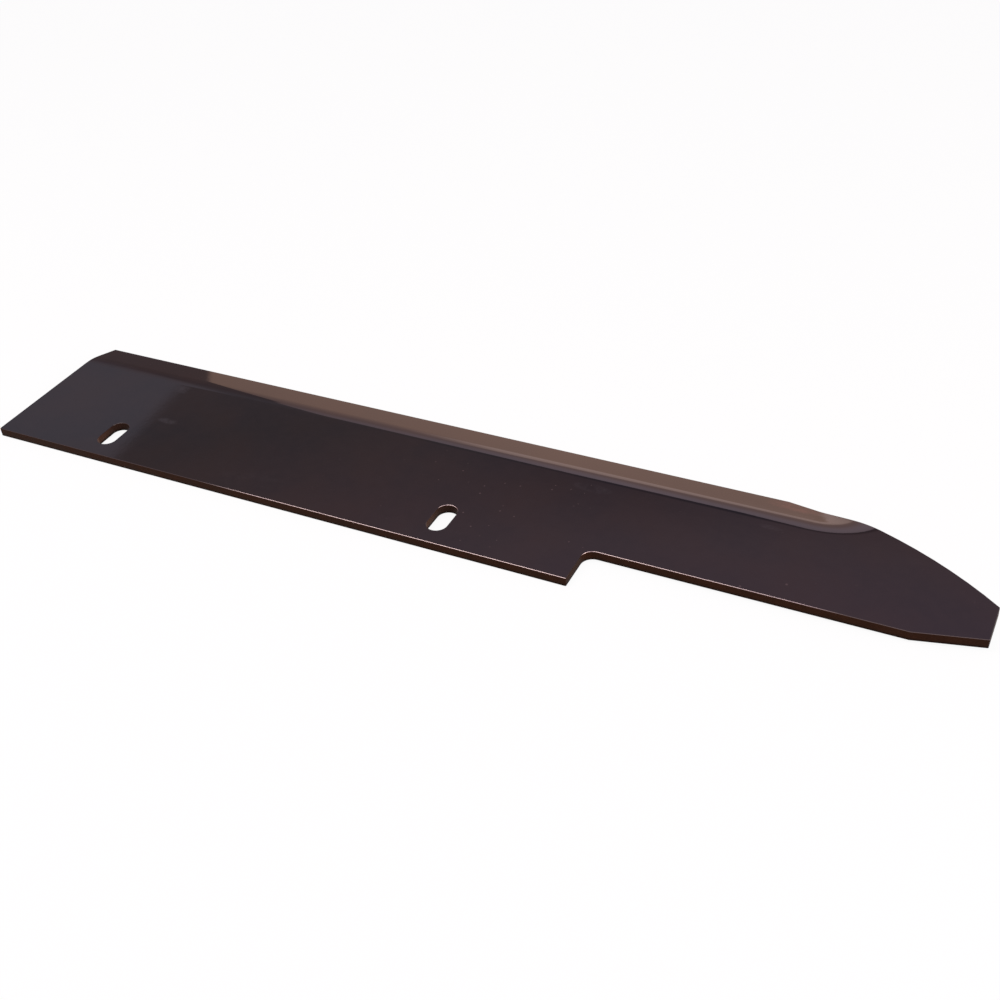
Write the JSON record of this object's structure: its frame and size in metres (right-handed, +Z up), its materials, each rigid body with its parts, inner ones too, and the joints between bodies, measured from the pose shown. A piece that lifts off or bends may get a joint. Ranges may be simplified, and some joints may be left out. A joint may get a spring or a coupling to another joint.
{
  "type": "mower deck plate",
  "caption": "Long folded steel plate for a mower deck, with a stepped front edge, bolt slots, a tapered nose and a shallow fold along the far edge that runs out before the nose.",
  "frame": {"origin": "centre of the outer bolt slot on the mating face, which is the underside of the flat", "axes": "+X along the plate from the square end towards the nose, +Y across it towards the fold, +Z up out of the mating face, along the slot's bolt axis"},
  "size_m": [0.535, 0.1, 0.0102],
  "materials": {
    "coated_steel": "glossy brown-black coating"
  },
  "bodies": {
    "root": {"deck_plate": "coated_steel"}
  },
  "joints": []
}
